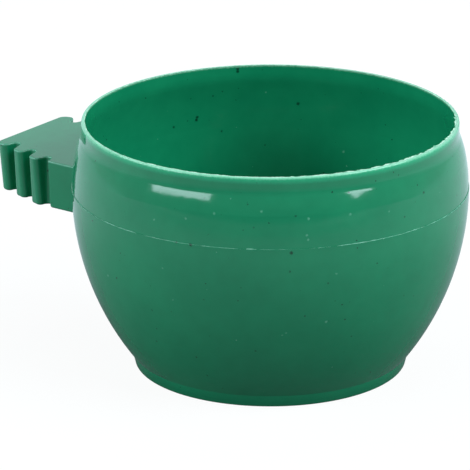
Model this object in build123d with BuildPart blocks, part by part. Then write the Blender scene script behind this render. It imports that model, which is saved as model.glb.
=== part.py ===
"""Seed cup for a bird cage: a bulged bowl on a foot ring, with a ribbed lug that wedges between cage bars.

Millimetres, +Z up. The origin is the centre of the foot ring's underside, and the lug points along +Y.
"""

import math
import os

from build123d import *

# Bowl: the collar, shoulder and belly are set from the rim
bowl_height = 44.2
rim_radius = 32.75
collar_height = 2.6
shoulder_drop = 2.0
shoulder_step = 0.8
belly_bulge = 1.85
parting_drop = 11.9
parting_step = 0.1
wall = 1.0
rim_wall = 0.62
shoulder_round = 16.0
crease_round = 3.0
inner_crease_round = 6.0
rim_outer_round = 0.3
rim_inner_round = 0.15

# Foot and floor
foot_radius = 23.8
foot_flare = 0.55
foot_height = 2.15
foot_land = 1.5
foot_recess = 1.0
foot_edge_round = 0.25
floor_thickness = 1.2
floor_round = 5.0
gate_radius = 1.25
gate_height = 0.5

# Lug: a wedge that narrows away from the bowl, with its top level with the parting line
lug_length = 19.3
lug_height = 9.0
tip_width = 18.8
flank_angle = 17.8
neck_inset = 0.85
neck_round = 0.4
lug_draft = 4.6
tip_round = 1.55
lug_top_round = 0.2
lug_bottom_round = 0.5

# Core of the lug: a pocket from below, up to the bowl's wall, that keeps the plastic thin
lug_wall = 1.5
lug_roof = 1.6
core_draft = 1.0
core_round = 1.5

# Bar grooves: V-shaped slots with round bottoms, in pairs across the lug
groove_count = 3
first_groove = 3.7
groove_pitch = 4.8
groove_depth = 2.95
groove_radius = 0.8
groove_half_angle = 14.0
rib_roundness = 0.48

# Profile of the bowl's outside, with a fine ledge at the parting line, where the mould's halves don't match
belly_radius = rim_radius + belly_bulge
parting_height = bowl_height - parting_drop
foot_top = (foot_radius + foot_flare, foot_height)
belly = (belly_radius, parting_height)
ledge = (belly_radius - parting_step, parting_height)
crease_height = bowl_height - collar_height
crease = (rim_radius, crease_height)
shoulder = (rim_radius + shoulder_step, crease_height - shoulder_drop)
rim = (rim_radius, bowl_height)
straight_down = (0, -1)
straight_up = (0, 1)

with BuildSketch(Plane.XZ) as envelope:
    with BuildLine():
        Polyline((0, bowl_height), (0, 0), (foot_radius, 0), foot_top)
        lower_belly = TangentArc(belly, foot_top, tangent=straight_down)
        Line(belly, ledge)
        TangentArc(ledge, shoulder, tangent=straight_up)
        Polyline(shoulder, crease, rim, (0, bowl_height))
    make_face()
    fillet(envelope.vertices().sort_by_distance(shoulder)[0], shoulder_round)
    fillet(envelope.vertices().sort_by_distance(crease)[0], crease_round)

# The inside follows the outside down to a flat floor, and the wall thins towards the rim
floor_top = foot_recess + floor_thickness
inner_belly_curve = lower_belly.radius - wall
inner_belly_drop = parting_height - floor_top
floor_reach = math.sqrt(inner_belly_curve**2 - inner_belly_drop**2)
floor_edge = (belly_radius - lower_belly.radius + floor_reach, floor_top)
inner_belly = (belly_radius - wall, parting_height)
inner_crease = (rim_radius - rim_wall, crease_height)
inner_rim = (rim_radius - rim_wall, bowl_height)

with BuildSketch(Plane.XZ) as cavity:
    with BuildLine():
        Polyline((0, bowl_height), (0, floor_top), floor_edge)
        TangentArc(inner_belly, floor_edge, tangent=straight_down)
        TangentArc(inner_belly, inner_crease, tangent=straight_up)
        Polyline(inner_crease, inner_rim, (0, bowl_height))
    make_face()
    fillet(cavity.vertices().sort_by_distance(floor_edge)[0], floor_round)
    fillet(cavity.vertices().sort_by_distance(inner_crease)[0], inner_crease_round)

parting_plane = Plane.XY.offset(parting_height)

# Lower half of the bowl: wall below the parting line, floor, foot ring and the stub of the moulding gate
with BuildPart() as lower_bowl:
    revolve(envelope.sketch, axis=Axis.Z)
    revolve(cavity.sketch, axis=Axis.Z, mode=Mode.SUBTRACT)
    split(bisect_by=parting_plane, keep=Keep.BOTTOM)
    with BuildSketch():
        Circle(foot_radius - foot_land)
    extrude(amount=foot_recess, mode=Mode.SUBTRACT)
    foot_face = lower_bowl.faces().filter_by(Plane.XY).sort_by(Axis.Z)[0]
    fillet(foot_face.edges(), foot_edge_round)
    with BuildSketch(Plane.XY.offset(foot_recess)):
        Circle(gate_radius)
    extrude(amount=-gate_height)

lower_bowl.part.label = "lower_bowl"

# Upper half of the bowl: wall above the parting line, shoulder, collar and rim
with BuildPart() as upper_bowl:
    revolve(envelope.sketch, axis=Axis.Z)
    revolve(cavity.sketch, axis=Axis.Z, mode=Mode.SUBTRACT)
    split(bisect_by=parting_plane, keep=Keep.TOP)
    rim_edges = upper_bowl.edges().group_by(Axis.Z)[-1].sort_by(SortBy.RADIUS)
    fillet(rim_edges[-1], rim_outer_round)
    fillet(rim_edges[0], rim_inner_round)

upper_bowl.part.label = "upper_bowl"

# Plan of the lug's right half: tip, ribbed flank and straight neck, closed inside the bowl
flank_slope = math.tan(math.radians(flank_angle))
lug_end = belly_radius + lug_length
groove_rows = [lug_end - first_groove - groove_pitch * i for i in range(groove_count)]


def flank_at(y):
    """Half the lug's width at y, along the line of the rib ends."""
    return tip_width / 2 + (lug_end - y) * flank_slope


last_row = groove_rows[-1]
neck_x = flank_at(last_row) - neck_inset
groove_centres = [(flank_at(y) - groove_depth + groove_radius, y) for y in groove_rows]
groove_slope = math.tan(math.radians(groove_half_angle))
groove_apex = -groove_radius / math.sin(math.radians(groove_half_angle))
groove_mouth = 2 * groove_depth
groove_half_width = (groove_mouth - groove_apex) * groove_slope
rib_width = groove_pitch - 2 * (groove_depth - groove_radius - groove_apex) * groove_slope
rib_round = rib_roundness * rib_width
core_inset = groove_depth + lug_wall
core_end = lug_end - lug_wall - lug_height * math.tan(math.radians(lug_draft))


def groove_corners(part, at_neck):
    """The upright edges where the grooves open: those of the ribs, or the last pair, against the neck."""
    found = []
    for edge in part.edges():
        middle = edge.center()
        upright = abs((edge % 0.5).Z) > 0.9
        reach = min(math.hypot(abs(middle.X) - x, middle.Y - y) for x, y in groove_centres)
        beside_groove = 1.1 * groove_radius < reach < groove_depth
        if upright and beside_groove and (middle.Y < last_row) == at_neck:
            found.append(edge)
    return found


with BuildPart() as cage_lug:
    with BuildSketch(parting_plane) as plan:
        with BuildLine():
            Polyline(
                (0, lug_end),
                (flank_at(lug_end), lug_end),
                (flank_at(last_row), last_row),
                (neck_x, last_row),
                (neck_x, 0),
                (0, 0),
            )
            mirror(about=Plane.YZ)
        make_face()
        fillet(plan.vertices().group_by(Axis.Y)[-1], tip_round)
    extrude(amount=-lug_height, taper=lug_draft)
    with BuildSketch(parting_plane):
        with BuildSketch(mode=Mode.PRIVATE) as groove:
            with BuildLine():
                Polyline(
                    (groove_apex, 0),
                    (groove_mouth, -groove_half_width),
                    (groove_mouth, groove_half_width),
                    close=True,
                )
            make_face()
            fillet(groove.vertices().sort_by(Axis.X)[0], groove_radius)
        with Locations(*groove_centres):
            add(groove.sketch)
        mirror(about=Plane.YZ)
    extrude(amount=-lug_height, mode=Mode.SUBTRACT)
    fillet(groove_corners(cage_lug, at_neck=False), rib_round)
    fillet(groove_corners(cage_lug, at_neck=True), neck_round)
    lug_faces = cage_lug.faces().filter_by(Plane.XY).sort_by(Axis.Z)
    fillet(lug_faces[-1].edges(), lug_top_round)
    fillet(lug_faces[0].edges(), lug_bottom_round)
    with BuildSketch(parting_plane.offset(-lug_roof)) as core:
        with BuildLine():
            Polyline(
                (0, core_end),
                (flank_at(core_end) - core_inset, core_end),
                (flank_at(last_row) - core_inset, last_row),
                (flank_at(last_row) - core_inset, 0),
                (0, 0),
            )
            mirror(about=Plane.YZ)
        make_face()
        fillet(core.vertices().group_by(Axis.Y)[-1], core_round)
    extrude(amount=lug_roof - lug_height, taper=-core_draft, mode=Mode.SUBTRACT)
    revolve(envelope.sketch, axis=Axis.Z, mode=Mode.SUBTRACT)

cage_lug.part.label = "cage_lug"

os.makedirs("parts", exist_ok=True)
export_step(lower_bowl.part, "parts/lower_bowl.step")
export_step(upper_bowl.part, "parts/upper_bowl.step")
export_step(cage_lug.part, "parts/cage_lug.step")
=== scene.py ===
import math

import bmesh
import bpy
from mathutils import Matrix, Vector, noise


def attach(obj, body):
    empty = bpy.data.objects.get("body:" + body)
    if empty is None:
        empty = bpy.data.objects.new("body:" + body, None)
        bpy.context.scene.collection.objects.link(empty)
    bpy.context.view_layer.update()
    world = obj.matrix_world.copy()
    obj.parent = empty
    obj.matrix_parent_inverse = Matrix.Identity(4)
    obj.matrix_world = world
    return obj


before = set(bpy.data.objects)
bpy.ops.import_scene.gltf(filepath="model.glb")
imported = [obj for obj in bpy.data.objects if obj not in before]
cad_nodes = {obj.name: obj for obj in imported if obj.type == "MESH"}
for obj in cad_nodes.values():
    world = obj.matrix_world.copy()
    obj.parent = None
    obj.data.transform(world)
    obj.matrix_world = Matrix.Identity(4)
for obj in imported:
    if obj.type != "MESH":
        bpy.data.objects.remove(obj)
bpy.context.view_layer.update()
scene = bpy.context.scene
MM = 0.001

# The camera stands 54 degrees round from the side opposite the lug, and looks down by 19 degrees
VIEW_AZIMUTH = math.radians(-54)
CAMERA_PLACE = (-0.5611, -0.4077, 0.26375)
CAMERA_TILT = math.radians(70.842)
LENS_MM = 321.7
SENSOR_MM = 36
FRAME_SHIFT = (-0.0755, 0.001)

# Sizes of the cup, in mm: the ledge where the halves of the mould meet, and the rim
PARTING_HEIGHT = 32.3
PARTING_RADIUS = 34.6
LEDGE_RADIUS = 34.5
RIM_HEIGHT = 44.2
RIM_INNER_RADIUS = 32.13

# Bead of flash on the ledge: from and to, in degrees round from the camera's side, and its height
# in mm. There is none where the lug joins the belly.
PARTING_FLASH = [
    (-84, -56.5, 0.07),
    (-56.5, -41, 0.09),
    (-41, -9, 0.05),
    (-6.4, -3.8, 0.14),
    (-3, 19, 0.03),
    (19, 78, 0.1),
    (78, 208, 0.05),
]
# Torn flash on the rim's inner edge: from and to, in degrees, and how far it reaches inward in mm
RIM_FLASH = [
    (-180, -40, 0.08),
    (-40, 6, 0.3),
    (6, 62, 0.5),
    (62, 92, 0.35),
    (92, 180, 0.1),
]
# How much of the bead and of the film is left along it: the least and the middle share, then the
# strength and the size in mm of the coarse and of the fine pattern
BEAD_LEFT = (0.35, 0.75, 1.0, 1.6, 0.6, 0.5)
FILM_LEFT = (0.05, 0.5, 0.8, 1.3, 0.5, 0.45)
# Depths in mm: the bead's root and its top where it is worn away, below the ledge's height, and
# the film's upper face, below the rim's
BEAD_ROOT = 0.03
BEAD_WORN = 0.015
FILM_TOP = 0.03
RING_STEPS = 900
MERGE_DISTANCE = 0.0001 * MM

# Larger specks and scuffs in the plastic: x, y, z and radius in mm
DARK_SPECKS = [
    (-25.8, -23.1, 31.7, 0.35),
    (22.1, 23.3, 43.6, 0.34),
    (22.1, 23.3, 43.1, 0.32),
    (29.6, 15.3, 36.6, 0.35),
    (-33.6, -8.0, 32.2, 0.32),
    (-34.2, -5.4, 32.3, 0.24),
    (-2.5, -33.8, 38.1, 0.26),
    (-24.8, -23.2, 37.9, 0.19),
    (-7.7, -33.5, 35.1, 0.19),
    (-14.7, -27.6, 14.5, 0.17),
    (-31.8, -9.6, 40.3, 0.16),
    (-25.8, -22.8, 28.3, 0.19),
    (-20.8, -27.1, 25.7, 0.16),
    (17.1, 28.8, 34.7, 0.33),
    (17.0, 28.9, 34.2, 0.34),
    (13.0, 31.0, 33.5, 0.26),
    (21.0, 26.2, 31.6, 0.24),
    (-23.8, 22.6, 41.6, 0.28),
    (-32.6, 1.1, 18.3, 0.17),
    (-32.2, -9.6, 22.4, 0.16),
    (-26.1, -15.9, 12.7, 0.17),
    (-29.1, -16.5, 39.8, 0.17),
    (-29.2, -17.8, 36.0, 0.16),
    (26.5, 20.4, 28.6, 0.17),
]
PALE_SCUFFS = [
    (-19.7, -25.9, 18.3, 0.26),
    (32.6, 7.3, 28.2, 0.24),
    (-28.1, -18.6, 38.7, 0.24),
    (-23.3, -24.8, 37.3, 0.24),
    (-17.5, -29.2, 37.4, 0.21),
    (-24.2, -20.9, 16.5, 0.17),
    (-24.5, -20.3, 16.1, 0.16),
    (-19.8, -28.1, 27.3, 0.17),
    (-31.6, 11.3, 22.1, 0.19),
    (-23.8, -24.8, 34.6, 0.21),
    (-23.7, -25.0, 33.8, 0.19),
    (-33.2, -3.8, 21.4, 0.17),
    (-31.9, -11.6, 38.0, 0.21),
    (-33.5, -6.9, 36.6, 0.19),
    (-34.3, -0.9, 35.4, 0.19),
    (-34.2, -2.5, 27.1, 0.17),
    (26.1, 20.0, 38.8, 0.17),
    (-10.7, -32.4, 36.7, 0.17),
]
# Small ones in random places: cell spacing in mm, share of cells marked and largest radius in mm.
# A shift in mm keeps the scuffs apart from the specks.
SMALL_SPECKS = (1.2, 0.4, 0.19)
SMALL_SCUFFS = (1.9, 0.25, 0.17)
SCUFF_SHIFT = (53.0, 17.0, 29.0)
SPECK_STRENGTH = 0.85
SCUFF_STRENGTH = 0.35

# Edges of the marks, in mm: where a mark's depth starts to show and shows fully, and how coarsely
# and how far their outline is shaken
LARGE_MARK_EDGE = (-0.06, 0.16)
SMALL_MARK_EDGE = 0.06
RAGGED_GRAIN = 0.4
RAGGED_REACH = 0.15

# Patterns of the plastic and of the flash, by their size in mm
CLOUD_SIZE = 9
MARBLING_SIZE = 2
MARBLING_SHARE = 0.35
GLOSS_PATCH = 3
PEEL_SIZE = 1.5
PEEL_DEPTH = 0.02
PEEL_STRENGTH = 0.3
STRESS_SIZE = 1.2
# Most of a noise texture's values lie between these two, and flash pales between the other two
NOISE_LOW, NOISE_HIGH = 0.3, 0.7
STRESS_LOW, STRESS_HIGH = 0.35, 0.6

# Painted light and shade at the edges, and the rim's scuff, in mm. Depths are counted down from the
# rim, and for the lug from its top.
# Where the lip's painted light starts and is full, and how far into the wall it reaches
LIP_START, LIP_FULL = 1.2, 0.2
LIP_WALL = 0.4
RIM_SCUFF_DEPTH = 0.4
RIM_SCUFF_STRENGTH = 0.7
# The painted highlight along the lug's top edge
LUG_LINE_START, LUG_LINE_FULL = 0.35, 0.15
LUG_LINE_FADES, LUG_LINE_END = 0.06, 0.01
LUG_LINE_STRENGTH = 0.45
BOWL_CLEARANCE = (0.1, 0.3)
# The painted shade towards the foot
FOOT_SHADE_HEIGHT = 2.4
FOOT_SHADE_STRENGTH = 0.6

# Colours and finish of the plastic. The flash has a green where it is sound and one where stressed.
DEEP_GREEN = "#0E7952"
FRESH_GREEN = "#158359"
SPECK_GREEN = "#04281A"
# Pale green of the scuffs, also used for the painted highlight along the lug's top edge
SCUFF_AND_HIGHLIGHT_GREEN = "#8FCBB2"
# Painted light: the lip's outside is drawn in this lighter green
LIP_PAINTED_LIGHT_GREEN = "#22AE7A"
RIM_SCUFF_GREEN = "#A4D9B9"
# Painted shade: the foot is drawn darker in this green
FOOT_SHADE_GREEN = "#0B5439"
BEAD_GREENS = ("#3E9C78", "#8CCBB0")
FILM_GREENS = ("#58AE85", "#C4E6CC")
POLYPROPYLENE_IOR = 1.49
GLOSS_ROUGHNESS = (0.06, 0.12)
FLASH_ROUGHNESS = 0.45

# Stage: the shoulder mirrors the strip as a bar, and a corner of the right box as a wedge. The
# others light the left side, the inside and the back. Each has its azimuth and elevation from the
# cup in degrees, its width and height in metres, its power in watts, and its roll in degrees.
SOFT_BOXES = [
    ("strip_left", -55.2, 22.2, 0.775, 0.3, 6.4, 8.5),
    ("box_right", 68.5, 35.1, 1.0, 0.6, 18, 14.5),
    ("box_left", -86, 31, 0.9, 0.32, 6.8, 0),
    ("box_over", 180, 62, 1.0, 0.8, 4, 0),
    ("panel_back", 180, 24, 1.6, 0.6, 1.4, 0),
]
CUP_MIDDLE = Vector((0, 0, 0.03))
BOX_DISTANCE = 1.2
FLOOR_REACH = 6.0
WHITE_SHARE = 0.92
LAMP_COLOUR = "#E2F8FF"
ROOM_COLOUR = "#E8F8FF"
PAPER_GREY = "#7A7A7A"
PAPER_WHITE = "#FFFFFF"
MIRRORED_WHITE = "#DDF6FF"

# Sockets of a Mix node: its factor, the two inputs for numbers and for colours, and the results
FACTOR = 0
VALUE_A, VALUE_B, MIXED_VALUE = 2, 3, 0
COLOUR_A, COLOUR_B, MIXED_COLOUR = 6, 7, 2


def linear(hex_colour):
    """An sRGB hex colour as linear RGBA."""
    parts = [int(hex_colour[i : i + 2], 16) / 255 for i in (1, 3, 5)]
    parts = [c / 12.92 if c <= 0.04045 else ((c + 0.055) / 1.055) ** 2.4 for c in parts]
    return (*parts, 1.0)


def node(tree, kind, settings=None, inputs=None):
    """Adds a node, with its settings and with input values or links."""
    made = tree.nodes.new(kind)
    for name, value in (settings or {}).items():
        setattr(made, name, value)
    for name, value in (inputs or {}).items():
        if isinstance(value, bpy.types.NodeSocket):
            tree.links.new(value, made.inputs[name])
        else:
            made.inputs[name].default_value = value
    return made


def new_material(name):
    """An empty node material: the material, its node tree and its output."""
    material = bpy.data.materials.new(name)
    material.use_nodes = True
    tree = material.node_tree
    tree.nodes.clear()
    return material, tree, tree.nodes.new("ShaderNodeOutputMaterial")


def place_in_mm(tree):
    """A point's place on the cup, in mm."""
    place = node(tree, "ShaderNodeTexCoord").outputs["Object"]
    return node(tree, "ShaderNodeVectorMath", {"operation": "SCALE"}, {
        0: place, "Scale": 1 / MM,
    }).outputs[0]


def ragged_place(tree, place):
    """A place that is shaken a little, so that marks drawn by it have ragged edges."""
    shake = node(tree, "ShaderNodeTexNoise", None, {
        "Vector": place, "Scale": 1 / RAGGED_GRAIN, "Detail": 1.0,
    })
    shaken = node(tree, "ShaderNodeVectorMath", {"operation": "MULTIPLY_ADD"}, {
        0: shake.outputs["Color"], 1: (2 * RAGGED_REACH,) * 3, 2: place,
    })
    return node(tree, "ShaderNodeVectorMath", {"operation": "SUBTRACT"}, {
        0: shaken.outputs[0], 1: (RAGGED_REACH,) * 3,
    }).outputs[0]


def height_of(tree, place):
    """A point's height, in mm."""
    return node(tree, "ShaderNodeSeparateXYZ", None, {"Vector": place}).outputs["Z"]


def from_axis(tree, place):
    """A point's distance from the cup's axis, in mm."""
    flat = node(tree, "ShaderNodeVectorMath", {"operation": "MULTIPLY"}, {
        0: place, 1: (1.0, 1.0, 0.0),
    })
    return node(tree, "ShaderNodeVectorMath", {"operation": "LENGTH"}, {
        0: flat.outputs[0],
    }).outputs["Value"]


def placed_marks(tree, place, rows):
    """A mask of round marks at known points, 1 in a mark's middle."""
    deepest = None
    for x, y, z, radius in rows:
        gap = node(tree, "ShaderNodeVectorMath", {"operation": "DISTANCE"}, {
            0: place, 1: (x, y, z),
        })
        depth = node(tree, "ShaderNodeMath", {"operation": "SUBTRACT"}, {
            0: radius, 1: gap.outputs["Value"],
        })
        if deepest:
            depth = node(tree, "ShaderNodeMath", {"operation": "MAXIMUM"}, {
                0: deepest, 1: depth.outputs[0],
            })
        deepest = depth.outputs[0]
    return node(tree, "ShaderNodeMapRange", None, {
        "Value": deepest, "From Min": LARGE_MARK_EDGE[0], "From Max": LARGE_MARK_EDGE[1],
    }).outputs["Result"]


def scattered_marks(tree, place, spacing, share, radius):
    """A mask of round marks in random places: cell spacing, share of cells and largest radius."""
    cells = node(tree, "ShaderNodeTexVoronoi", None, {"Vector": place, "Scale": 1 / spacing})
    pick = node(tree, "ShaderNodeSeparateColor", None, {"Color": cells.outputs["Color"]})
    size = node(tree, "ShaderNodeMapRange", None, {
        "Value": pick.outputs["Red"], "From Min": 1 - share, "To Max": radius / spacing,
    })
    depth = node(tree, "ShaderNodeMath", {"operation": "SUBTRACT"}, {
        0: size.outputs["Result"], 1: cells.outputs["Distance"],
    })
    return node(tree, "ShaderNodeMapRange", None, {
        "Value": depth.outputs[0], "From Max": SMALL_MARK_EDGE / spacing,
    }).outputs["Result"]


def cloudy_green(tree, place):
    """The plastic's own green, in soft clouds with finer marbling."""
    clouds = node(tree, "ShaderNodeTexNoise", None, {
        "Vector": place, "Scale": 1 / CLOUD_SIZE, "Detail": 2.0,
    })
    marbling = node(tree, "ShaderNodeTexNoise", None, {
        "Vector": place, "Scale": 1 / MARBLING_SIZE, "Detail": 3.0,
    })
    blend = node(tree, "ShaderNodeMix", None, {
        FACTOR: MARBLING_SHARE, VALUE_A: clouds.outputs["Fac"], VALUE_B: marbling.outputs["Fac"],
    })
    blend = node(tree, "ShaderNodeMapRange", None, {
        "Value": blend.outputs[MIXED_VALUE], "From Min": NOISE_LOW, "From Max": NOISE_HIGH,
    })
    return node(tree, "ShaderNodeMix", {"data_type": "RGBA"}, {
        FACTOR: blend.outputs["Result"],
        COLOUR_A: linear(DEEP_GREEN), COLOUR_B: linear(FRESH_GREEN),
    }).outputs[MIXED_COLOUR]


def with_regrind_marks(tree, ragged, colour):
    """A colour with dark specks of old plastic and pale scuffs over it."""
    specks = node(tree, "ShaderNodeMath", {"operation": "MAXIMUM"}, {
        0: placed_marks(tree, ragged, DARK_SPECKS),
        1: scattered_marks(tree, ragged, *SMALL_SPECKS),
    })
    specks = node(tree, "ShaderNodeMath", {"operation": "MULTIPLY"}, {
        0: specks.outputs[0], 1: SPECK_STRENGTH,
    })
    colour = node(tree, "ShaderNodeMix", {"data_type": "RGBA"}, {
        FACTOR: specks.outputs[0], COLOUR_A: colour, COLOUR_B: linear(SPECK_GREEN),
    }).outputs[MIXED_COLOUR]
    shifted = node(tree, "ShaderNodeVectorMath", {"operation": "ADD"}, {0: ragged, 1: SCUFF_SHIFT})
    scuffs = node(tree, "ShaderNodeMath", {"operation": "MAXIMUM"}, {
        0: placed_marks(tree, ragged, PALE_SCUFFS),
        1: scattered_marks(tree, shifted.outputs[0], *SMALL_SCUFFS),
    })
    scuffs = node(tree, "ShaderNodeMath", {"operation": "MULTIPLY"}, {
        0: scuffs.outputs[0], 1: SCUFF_STRENGTH,
    })
    return node(tree, "ShaderNodeMix", {"data_type": "RGBA"}, {
        FACTOR: scuffs.outputs[0], COLOUR_A: colour, COLOUR_B: linear(SCUFF_AND_HIGHLIGHT_GREEN),
    }).outputs[MIXED_COLOUR]


def with_lip_light_and_rim_scuff(tree, place, ragged, colour):
    """A colour with painted light on the lip and a scuff on its rim over it.

    Its outside is a lighter green: painted light, standing in for light on and through the thin
    lip.
    Its trimmed edge is scuffed pale.
    """
    height = height_of(tree, ragged)
    outside = node(tree, "ShaderNodeMapRange", None, {
        "Value": from_axis(tree, place),
        "From Min": RIM_INNER_RADIUS, "From Max": RIM_INNER_RADIUS + LIP_WALL,
    })
    lip = node(tree, "ShaderNodeMapRange", None, {
        "Value": height, "From Min": RIM_HEIGHT - LIP_START, "From Max": RIM_HEIGHT - LIP_FULL,
    })
    lip = node(tree, "ShaderNodeMath", {"operation": "MULTIPLY"}, {
        0: lip.outputs["Result"], 1: outside.outputs["Result"],
    })
    # Painted light: the lip's outside turns a lighter green
    colour = node(tree, "ShaderNodeMix", {"data_type": "RGBA"}, {
        FACTOR: lip.outputs[0], COLOUR_A: colour, COLOUR_B: linear(LIP_PAINTED_LIGHT_GREEN),
    }).outputs[MIXED_COLOUR]
    rim = node(tree, "ShaderNodeMapRange", None, {
        "Value": height, "To Max": RIM_SCUFF_STRENGTH,
        "From Min": RIM_HEIGHT - RIM_SCUFF_DEPTH, "From Max": RIM_HEIGHT,
    })
    return node(tree, "ShaderNodeMix", {"data_type": "RGBA"}, {
        FACTOR: rim.outputs["Result"], COLOUR_A: colour, COLOUR_B: linear(RIM_SCUFF_GREEN),
    }).outputs[MIXED_COLOUR]


def with_lug_edge_highlight(tree, place, colour):
    """A colour with a painted highlight over it: a pale line along the lug's top edge, just below
    its flat top.
    """
    height = height_of(tree, place)
    off_bowl = node(tree, "ShaderNodeMapRange", None, {
        "Value": from_axis(tree, place),
        "From Min": PARTING_RADIUS + BOWL_CLEARANCE[0],
        "From Max": PARTING_RADIUS + BOWL_CLEARANCE[1],
    })
    line = node(tree, "ShaderNodeMapRange", None, {
        "Value": height, "To Max": LUG_LINE_STRENGTH,
        "From Min": PARTING_HEIGHT - LUG_LINE_START, "From Max": PARTING_HEIGHT - LUG_LINE_FULL,
    })
    below_top = node(tree, "ShaderNodeMapRange", None, {
        "Value": height, "To Min": 1.0, "To Max": 0.0,
        "From Min": PARTING_HEIGHT - LUG_LINE_FADES, "From Max": PARTING_HEIGHT - LUG_LINE_END,
    })
    line = node(tree, "ShaderNodeMath", {"operation": "MULTIPLY"}, {
        0: line.outputs["Result"], 1: below_top.outputs["Result"],
    })
    line = node(tree, "ShaderNodeMath", {"operation": "MULTIPLY"}, {
        0: line.outputs[0], 1: off_bowl.outputs["Result"],
    })
    # Painted highlight: the lug's top edge turns pale
    return node(tree, "ShaderNodeMix", {"data_type": "RGBA"}, {
        FACTOR: line.outputs[0], COLOUR_A: colour, COLOUR_B: linear(SCUFF_AND_HIGHLIGHT_GREEN),
    }).outputs[MIXED_COLOUR]


def with_foot_shade(tree, ragged, colour):
    """A colour with painted shade over it, darker towards the foot's lower edge."""
    shade = node(tree, "ShaderNodeMapRange", None, {
        "Value": height_of(tree, ragged), "From Max": FOOT_SHADE_HEIGHT,
        "To Min": FOOT_SHADE_STRENGTH, "To Max": 0.0,
    })
    # Painted shade: darker towards the foot's lower edge
    return node(tree, "ShaderNodeMix", {"data_type": "RGBA"}, {
        FACTOR: shade.outputs["Result"], COLOUR_A: colour, COLOUR_B: linear(FOOT_SHADE_GREEN),
    }).outputs[MIXED_COLOUR]


def moulded_polypropylene():
    """Polypropylene with regrind in it, injection moulded: an even green with a soft gloss.

    Regrind leaves cloudy colour, dark specks of old plastic and pale nicks. The polished mould
    gives a gloss that is a little uneven, and a faint orange peel. Over its colour lie painted
    light on the lip, a painted highlight along the lug's top edge and painted shade towards the
    foot.
    """
    material, tree, output = new_material("polypropylene_green_moulded")
    place = place_in_mm(tree)
    ragged = ragged_place(tree, place)
    colour = cloudy_green(tree, place)
    colour = with_regrind_marks(tree, ragged, colour)
    # Painted light on the lip, over its scuffed rim
    colour = with_lip_light_and_rim_scuff(tree, place, ragged, colour)
    # Painted highlight along the lug's top edge
    colour = with_lug_edge_highlight(tree, place, colour)
    # Painted shade towards the foot
    colour = with_foot_shade(tree, ragged, colour)

    wear = node(tree, "ShaderNodeTexNoise", None, {
        "Vector": place, "Scale": 1 / GLOSS_PATCH, "Detail": 3.0,
    })
    roughness = node(tree, "ShaderNodeMapRange", None, {
        "Value": wear.outputs["Fac"], "From Min": NOISE_LOW, "From Max": NOISE_HIGH,
        "To Min": GLOSS_ROUGHNESS[0], "To Max": GLOSS_ROUGHNESS[1],
    })
    peel = node(tree, "ShaderNodeTexNoise", None, {
        "Vector": place, "Scale": 1 / PEEL_SIZE, "Detail": 1.0,
    })
    bump = node(tree, "ShaderNodeBump", None, {
        "Strength": PEEL_STRENGTH, "Distance": PEEL_DEPTH * MM, "Height": peel.outputs["Fac"],
    })
    shader = node(tree, "ShaderNodeBsdfPrincipled", None, {
        "Base Color": colour, "Roughness": roughness.outputs["Result"],
        "IOR": POLYPROPYLENE_IOR, "Normal": bump.outputs["Normal"],
    })
    tree.links.new(shader.outputs["BSDF"], output.inputs["Surface"])
    return material


def torn_flash(name, sound, stressed):
    """Thin polypropylene flash, torn off: the stress turns it pale and dull, unevenly along it."""
    material, tree, output = new_material(name)
    stress = node(tree, "ShaderNodeTexNoise", None, {
        "Vector": place_in_mm(tree), "Scale": 1 / STRESS_SIZE, "Detail": 2.0,
    })
    whitened = node(tree, "ShaderNodeMapRange", None, {
        "Value": stress.outputs["Fac"], "From Min": STRESS_LOW, "From Max": STRESS_HIGH,
    })
    colour = node(tree, "ShaderNodeMix", {"data_type": "RGBA"}, {
        FACTOR: whitened.outputs["Result"], COLOUR_A: linear(sound), COLOUR_B: linear(stressed),
    })
    shader = node(tree, "ShaderNodeBsdfPrincipled", None, {
        "Base Color": colour.outputs[MIXED_COLOUR],
        "Roughness": FLASH_ROUGHNESS, "IOR": POLYPROPYLENE_IOR,
    })
    tree.links.new(shader.outputs["BSDF"], output.inputs["Surface"])
    return material


def round_from_camera(point):
    """Degrees round the cup from the camera's side, -180 to 180, positive to the camera's right."""
    turned = Matrix.Rotation(-VIEW_AZIMUTH, 3, "Z") @ Vector(point)
    return math.degrees(math.atan2(turned.x, -turned.y))


def run_size(runs, degrees):
    """The size that a list of runs gives at an angle, or 0 outside them."""
    for start, end, size in runs:
        if start <= degrees < end or start <= degrees + 360 < end:
            return size
    return 0.0


def spun_ring(section):
    """A closed ring round the cup's axis from a closed section of (radius, height) in mm."""
    bm = bmesh.new()
    corners = [bm.verts.new((radius * MM, 0, height * MM)) for radius, height in section]
    sides = [bm.edges.new((corners[i - 1], corners[i])) for i in range(len(corners))]
    bmesh.ops.spin(
        bm, geom=corners + sides, cent=(0, 0, 0), axis=(0, 0, 1),
        angle=math.tau, steps=RING_STEPS, use_merge=True,
    )
    bmesh.ops.remove_doubles(bm, verts=bm.verts, dist=MERGE_DISTANCE)
    bmesh.ops.recalc_face_normals(bm, faces=bm.faces)
    return bm


def share_left(place, least, middle, coarse_strength, coarse, fine_strength, fine):
    """How much of the flash is left at a place, by noise of a coarse and a fine size in mm."""
    share = middle + coarse_strength * noise.noise(place / (coarse * MM))
    share += fine_strength * noise.noise(place / (fine * MM))
    return max(least, min(1.0, share))


def finished_piece(bm, name, material):
    """Makes a mesh a piece of the cup, which rides on its one body."""
    mesh = bpy.data.meshes.new(name)
    bm.to_mesh(mesh)
    bm.free()
    mesh.materials.append(material)
    piece = bpy.data.objects.new(name, mesh)
    scene.collection.objects.link(piece)
    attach(piece, "root")


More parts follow.
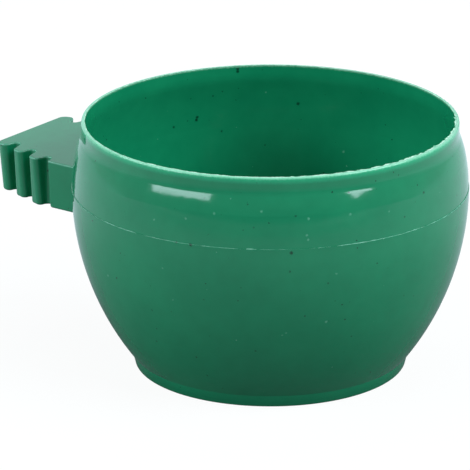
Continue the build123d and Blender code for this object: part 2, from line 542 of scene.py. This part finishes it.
def parting_flash(material):
    """The hairline round the belly: a low bead of flash on the ledge, worn away in places."""
    root = PARTING_HEIGHT - BEAD_ROOT
    worn = PARTING_HEIGHT - BEAD_WORN
    # Two corners are sunk in the plastic, and the third is the crest, which is then worn down
    bm = spun_ring([
        (LEDGE_RADIUS - 0.05, root),
        (PARTING_RADIUS - 0.005, root),
        (LEDGE_RADIUS + 0.06, PARTING_HEIGHT + 0.1),
    ])
    for vert in bm.verts:
        if vert.co.z < worn * MM:
            continue
        height = run_size(PARTING_FLASH, round_from_camera(vert.co))
        height *= share_left(vert.co, *BEAD_LEFT)
        vert.co.z = (worn + height) * MM
    finished_piece(bm, "parting_flash", material)


def rim_flash(material):
    """A torn film of flash that reaches in from the rim's inner edge."""
    top = RIM_HEIGHT - FILM_TOP
    # Two corners are sunk in the lip, and the third is the free edge, which is then torn
    bm = spun_ring([
        (RIM_INNER_RADIUS + 0.13, top),
        (RIM_INNER_RADIUS + 0.06, top - 0.09),
        (RIM_INNER_RADIUS - 0.1, top),
    ])
    for vert in bm.verts:
        radius = math.hypot(vert.co.x, vert.co.y)
        if radius > RIM_INNER_RADIUS * MM:
            continue
        reach = run_size(RIM_FLASH, round_from_camera(vert.co)) * share_left(vert.co, *FILM_LEFT)
        grow = (RIM_INNER_RADIUS - reach) * MM / radius
        vert.co.x *= grow
        vert.co.y *= grow
    finished_piece(bm, "rim_flash", material)


def toward(azimuth, elevation):
    """A direction from the cup, by the azimuth from the camera's side, positive to its right."""
    a, e = math.radians(azimuth), math.radians(elevation)
    way = Vector((math.sin(a) * math.cos(e), -math.cos(a) * math.cos(e), math.sin(e)))
    return Matrix.Rotation(VIEW_AZIMUTH, 3, "Z") @ way


def soft_box(name, azimuth, elevation, width, height, power, roll):
    """A soft box aimed at the cup."""
    lamp = bpy.data.lights.new(name, "AREA")
    lamp.shape = "RECTANGLE"
    lamp.size, lamp.size_y = width, height
    lamp.energy = power
    lamp.color = linear(LAMP_COLOUR)[:3]
    box = bpy.data.objects.new(name, lamp)
    box.location = CUP_MIDDLE + toward(azimuth, elevation) * BOX_DISTANCE
    facing = (CUP_MIDDLE - box.location).to_track_quat("-Z", "Y").to_matrix()
    box.rotation_euler = (facing @ Matrix.Rotation(math.radians(roll), 3, "Z")).to_euler()
    scene.collection.objects.link(box)


def white_paper():
    """White paper: white to the camera, with the cup's shadow left in it.

    Gloss sees less of that white beside the cup and on the camera's side, and a little more far
    off, where the floor meets the room.
    """
    material, tree, output = new_material("paper_white")
    path = node(tree, "ShaderNodeLightPath")
    place = node(tree, "ShaderNodeTexCoord").outputs["Object"]

    # The share of white that gloss sees: more behind the cup and away from it, and a little far off
    behind = node(tree, "ShaderNodeVectorMath", {"operation": "DOT_PRODUCT"}, {
        0: place, 1: (-math.sin(VIEW_AZIMUTH), math.cos(VIEW_AZIMUTH), 0),
    })
    behind = node(tree, "ShaderNodeMapRange", None, {
        "Value": behind.outputs["Value"], "From Min": -0.25, "From Max": 0.25, "To Min": 0.12,
    })
    distance = node(tree, "ShaderNodeVectorMath", {"operation": "LENGTH"}, {0: place})
    beside = node(tree, "ShaderNodeMapRange", None, {
        "Value": distance.outputs["Value"], "From Min": 0.03, "From Max": 0.14, "To Max": 0.95,
    })
    far = node(tree, "ShaderNodeMapRange", None, {
        "Value": distance.outputs["Value"], "From Min": 0.2, "From Max": 1.0, "To Max": 0.09,
    })
    mirrored = node(tree, "ShaderNodeMath", {"operation": "MULTIPLY_ADD"}, {
        0: behind.outputs["Result"], 1: beside.outputs["Result"], 2: far.outputs["Result"],
    })
    mirrored = node(tree, "ShaderNodeMath", {"operation": "MULTIPLY"}, {
        0: path.outputs["Is Glossy Ray"], 1: mirrored.outputs[0],
    })

    # The camera sees it as white. To soft light the paper is grey, so it throws less at the cup.
    seen = node(tree, "ShaderNodeMath", {"operation": "MAXIMUM"}, {
        0: path.outputs["Is Camera Ray"], 1: path.outputs["Is Transmission Ray"],
    })
    seen = node(tree, "ShaderNodeMath", {"operation": "MAXIMUM"}, {
        0: seen.outputs[0], 1: mirrored.outputs[0],
    })
    share = node(tree, "ShaderNodeMath", {"operation": "MULTIPLY"}, {
        0: seen.outputs[0], 1: WHITE_SHARE,
    })
    paper = node(tree, "ShaderNodeMix", {"data_type": "RGBA"}, {
        FACTOR: seen.outputs[0], COLOUR_A: linear(PAPER_GREY), COLOUR_B: linear(PAPER_WHITE),
    })
    paper = node(tree, "ShaderNodeBsdfDiffuse", None, {"Color": paper.outputs[MIXED_COLOUR]})
    white = node(tree, "ShaderNodeMix", {"data_type": "RGBA"}, {
        FACTOR: path.outputs["Is Glossy Ray"],
        COLOUR_A: linear(PAPER_WHITE), COLOUR_B: linear(MIRRORED_WHITE),
    })
    white = node(tree, "ShaderNodeEmission", None, {
        "Color": white.outputs[MIXED_COLOUR], "Strength": 1.0,
    })
    mixed = node(tree, "ShaderNodeMixShader", None, {
        0: share.outputs[0], 1: paper.outputs[0], 2: white.outputs[0],
    })
    tree.links.new(mixed.outputs[0], output.inputs["Surface"])
    return material


def paper_floor():
    """The floor that the cup stands on."""
    bm = bmesh.new()
    bmesh.ops.create_grid(bm, x_segments=1, y_segments=1, size=FLOOR_REACH)
    mesh = bpy.data.meshes.new("floor")
    bm.to_mesh(mesh)
    bm.free()
    mesh.materials.append(white_paper())
    floor = bpy.data.objects.new("floor", mesh)
    scene.collection.objects.link(floor)


def studio_room():
    """The room: dim overhead, and low down brighter behind the cup than in front of it.

    Where it meets the floor, gloss sees both at about the same level.
    """
    world = bpy.data.worlds.new("studio")
    world.use_nodes = True
    tree = world.node_tree
    tree.nodes.clear()
    way = node(tree, "ShaderNodeTexCoord").outputs["Generated"]
    height = node(tree, "ShaderNodeSeparateXYZ", None, {"Vector": way}).outputs["Z"]
    room = node(tree, "ShaderNodeMapRange", None, {
        "Value": height, "From Min": 0.25, "From Max": 0.75, "To Min": 0.42, "To Max": 0.12,
    })
    rear = node(tree, "ShaderNodeVectorMath", {"operation": "DOT_PRODUCT"}, {
        0: way, 1: toward(180, 0),
    })
    rear = node(tree, "ShaderNodeMapRange", None, {
        "Value": rear.outputs["Value"],
        "From Min": -0.9, "From Max": 0.25, "To Min": -0.23, "To Max": 0.35,
    })
    low = node(tree, "ShaderNodeMapRange", None, {
        "Value": height, "From Max": 0.35, "To Min": 1.0, "To Max": 0.0,
    })
    strength = node(tree, "ShaderNodeMath", {"operation": "MULTIPLY_ADD"}, {
        0: rear.outputs["Result"], 1: low.outputs["Result"], 2: room.outputs["Result"],
    })
    sky = node(tree, "ShaderNodeBackground", None, {
        "Color": linear(ROOM_COLOUR), "Strength": strength.outputs[0],
    })
    node(tree, "ShaderNodeOutputWorld", None, {"Surface": sky.outputs[0]})
    scene.world = world


def photo_camera():
    """The camera, at the photograph's viewing angle and framing."""
    camera_data = bpy.data.cameras.new("camera")
    camera_data.lens = LENS_MM
    camera_data.sensor_width = SENSOR_MM
    camera_data.shift_x, camera_data.shift_y = FRAME_SHIFT
    camera = bpy.data.objects.new("camera", camera_data)
    camera.location = CAMERA_PLACE
    camera.rotation_euler = (CAMERA_TILT, 0, VIEW_AZIMUTH)
    scene.collection.objects.link(camera)
    scene.camera = camera


plastic = moulded_polypropylene()
for name in ("lower_bowl", "upper_bowl", "cage_lug"):
    cad_nodes[name].data.materials.clear()
    cad_nodes[name].data.materials.append(plastic)
parting_flash(torn_flash("polypropylene_flash_trimmed", *BEAD_GREENS))
rim_flash(torn_flash("polypropylene_flash_stress_whitened", *FILM_GREENS))

for row in SOFT_BOXES:
    soft_box(*row)
paper_floor()
studio_room()
photo_camera()
scene.view_settings.view_transform = "Standard"
